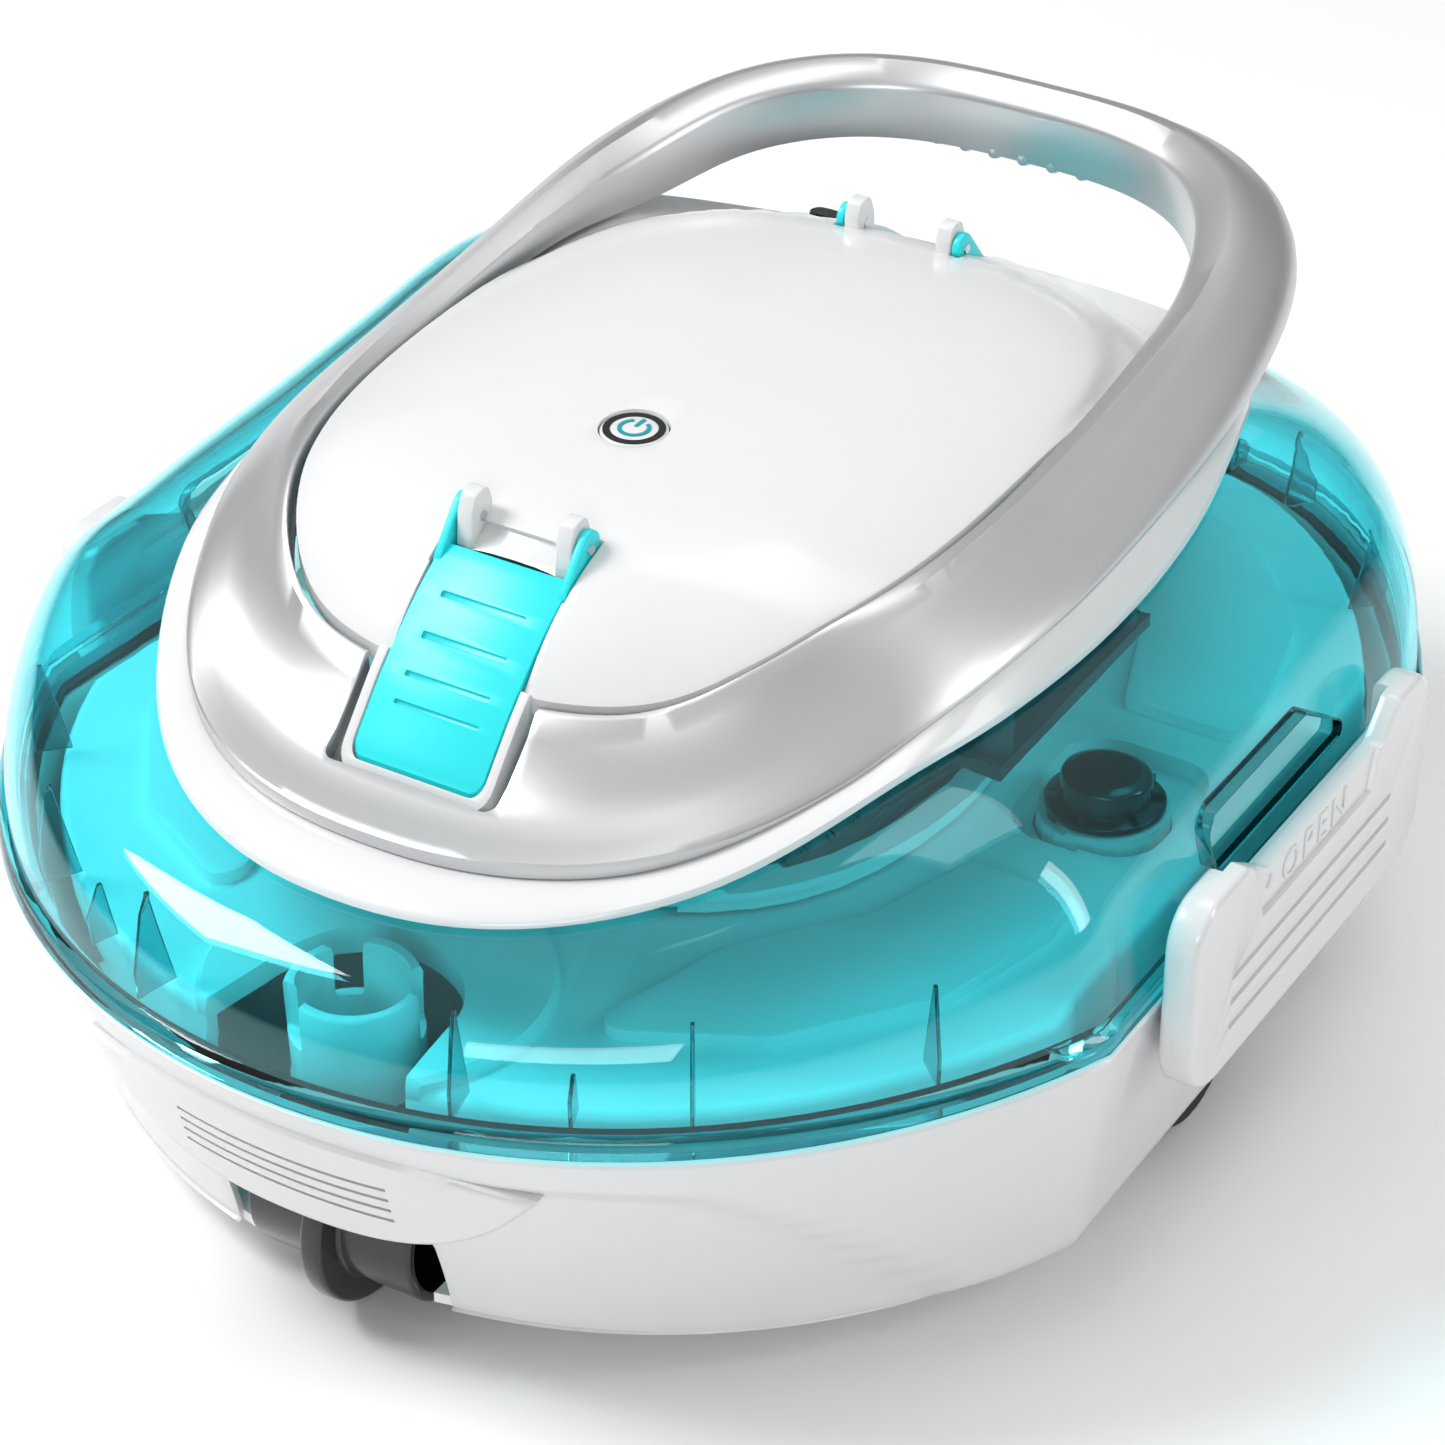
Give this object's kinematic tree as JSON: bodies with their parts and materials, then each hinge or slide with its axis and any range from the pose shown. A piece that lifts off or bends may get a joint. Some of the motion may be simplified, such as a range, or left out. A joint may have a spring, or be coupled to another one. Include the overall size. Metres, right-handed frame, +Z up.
{
  "type": "pool cleaner",
  "caption": "Cordless pool-floor cleaner with a clear top shell, carrying-handle ring, side latches, rollers, suction inlets and hinged jet-outlet flaps.",
  "frame": {"origin": "on the ground under the middle of the body", "axes": "+Z up, -Y to the front of the cleaner (the side with the lower end of the handle ring), +X to its right"},
  "size_m": [0.356, 0.433, 0.2019],
  "materials": {
    "white_shell": "glossy moulded ABS",
    "clear_teal": "clear tinted polycarbonate, polished",
    "silver_ring": "satin metallic paint on plastic",
    "cyan_flap": "satin moulded plastic",
    "black_roller": "smooth black",
    "seal_rubber": "matte",
    "steel": "bright",
    "dark_plastic": "fine texture",
    "filter_net": "woven nylon net",
    "board": "solder mask",
    "cell_wrap": "shrink-wrapped cells"
  },
  "bodies": {
    "base": {"base_shell": "white_shell", "base_floor": "white_shell", "base_deck": "white_shell", "deck_post_1": "white_shell", "deck_post_2": "white_shell", "deck_post_3": "white_shell", "deck_post_4": "white_shell", "inlet_cup_left": "white_shell", "inlet_cup_right": "white_shell", "rim_seal": "seal_rubber", "front_bumper": "white_shell", "rear_bumper": "white_shell", "front_axle": "steel", "rear_axle": "steel", "side_axle_left": "steel", "side_axle_right": "steel", "latch_pin_left": "steel", "latch_pin_right": "steel", "base_screw_1": "steel", "base_screw_2": "steel", "base_screw_3": "steel", "base_screw_4": "steel"},
    "front_roller": {"front_roller": "black_roller"},
    "rear_roller": {"rear_roller": "black_roller"},
    "side_wheel_left": {"side_wheel_left": "seal_rubber"},
    "side_wheel_right": {"side_wheel_right": "seal_rubber"},
    "inlet_valve_left": {"inlet_valve_left": "seal_rubber"},
    "inlet_valve_right": {"inlet_valve_right": "seal_rubber"},
    "latch_left": {"latch_left": "white_shell"},
    "latch_right": {"latch_right": "white_shell"},
    "filter": {"filter_frame": "white_shell", "filter_mesh": "filter_net"},
    "upper_unit": {"clear_shell": "clear_teal", "trim_ring": "white_shell", "handle_ring": "silver_ring", "top_lid": "white_shell", "front_flap_pin_left": "steel", "front_flap_pin_right": "steel", "rear_flap_pin_left": "steel", "rear_flap_pin_right": "steel", "front_duct": "dark_plastic", "front_motor": "dark_plastic", "rear_duct": "dark_plastic", "rear_motor": "dark_plastic", "battery_box": "dark_plastic", "box_seal": "seal_rubber", "box_lid": "dark_plastic", "battery_pack": "cell_wrap", "control_board": "board", "charge_port": "dark_plastic", "chassis": "dark_plastic"},
    "front_propeller": {"front_propeller": "dark_plastic", "front_motor_shaft": "steel"},
    "rear_propeller": {"rear_propeller": "dark_plastic", "rear_motor_shaft": "steel"},
    "front_flap": {"front_flap": "cyan_flap"},
    "rear_flap": {"rear_flap": "cyan_flap"},
    "power_button": {"power_button": "white_shell"},
    "charge_cap": {"charge_cap": "seal_rubber"}
  },
  "joints": [
    {"name": "front_roller_spin", "type": "hinge", "parent": "base", "child": "front_roller", "pos_m": [0, -0.1715, 0.029], "axis": [1, 0, 0], "continuous": true},
    {"name": "rear_roller_spin", "type": "hinge", "parent": "base", "child": "rear_roller", "pos_m": [0, 0.1715, 0.029], "axis": [1, 0, 0], "continuous": true},
    {"name": "side_wheel_left_spin", "type": "hinge", "parent": "base", "child": "side_wheel_left", "pos_m": [-0.144, 0, 0.025], "axis": [1, 0, 0], "continuous": true},
    {"name": "side_wheel_right_spin", "type": "hinge", "parent": "base", "child": "side_wheel_right", "pos_m": [0.144, 0, 0.025], "axis": [1, 0, 0], "continuous": true},
    {"name": "inlet_valve_left_lift", "type": "hinge", "parent": "base", "child": "inlet_valve_left", "pos_m": [-0.1165, 0.016, 0.0914], "axis": [-1, 0, 0], "range_deg": [0, 45]},
    {"name": "inlet_valve_right_lift", "type": "hinge", "parent": "base", "child": "inlet_valve_right", "pos_m": [0.1165, 0.016, 0.0914], "axis": [-1, 0, 0], "range_deg": [0, 45]},
    {"name": "latch_left_open", "type": "hinge", "parent": "base", "child": "latch_left", "pos_m": [-0.1666, 0, 0.064], "axis": [0, -1, 0], "range_deg": [0, 30]},
    {"name": "latch_right_open", "type": "hinge", "parent": "base", "child": "latch_right", "pos_m": [0.1666, 0, 0.064], "axis": [0, 1, 0], "range_deg": [0, 30]},
    {"name": "filter_lift", "type": "slide", "parent": "base", "child": "filter", "axis": [0, 0, 1], "range_m": [0, 0.064]},
    {"name": "upper_unit_lift", "type": "slide", "parent": "base", "child": "upper_unit", "axis": [0, 0, 1], "range_m": [0, 0.16]},
    {"name": "front_propeller_spin", "type": "hinge", "parent": "upper_unit", "child": "front_propeller", "pos_m": [0, -0.08392, 0.13411], "axis": [0, -0.8021, 0.5972], "continuous": true},
    {"name": "rear_propeller_spin", "type": "hinge", "parent": "upper_unit", "child": "rear_propeller", "pos_m": [0, 0.08392, 0.13411], "axis": [0, 0.8021, 0.5972], "continuous": true},
    {"name": "front_flap_open", "type": "hinge", "parent": "upper_unit", "child": "front_flap", "pos_m": [0, -0.096, 0.187], "axis": [-1, 0, 0], "range_deg": [0, 50]},
    {"name": "rear_flap_open", "type": "hinge", "parent": "upper_unit", "child": "rear_flap", "pos_m": [0, 0.096, 0.187], "axis": [1, 0, 0], "range_deg": [0, 50]},
    {"name": "power_button_press", "type": "slide", "parent": "upper_unit", "child": "power_button", "axis": [0, 0, -1], "range_m": [0, 0.0015], "stiffness_N_per_m": 400},
    {"name": "charge_cap_pull", "type": "slide", "parent": "upper_unit", "child": "charge_cap", "axis": [0, 0.6216, 0.7833], "range_m": [0, 0.012]}
  ],
  "couplings": [
    {"joint": "filter_lift", "follows": "upper_unit_lift", "ratio": 0.4}
  ]
}
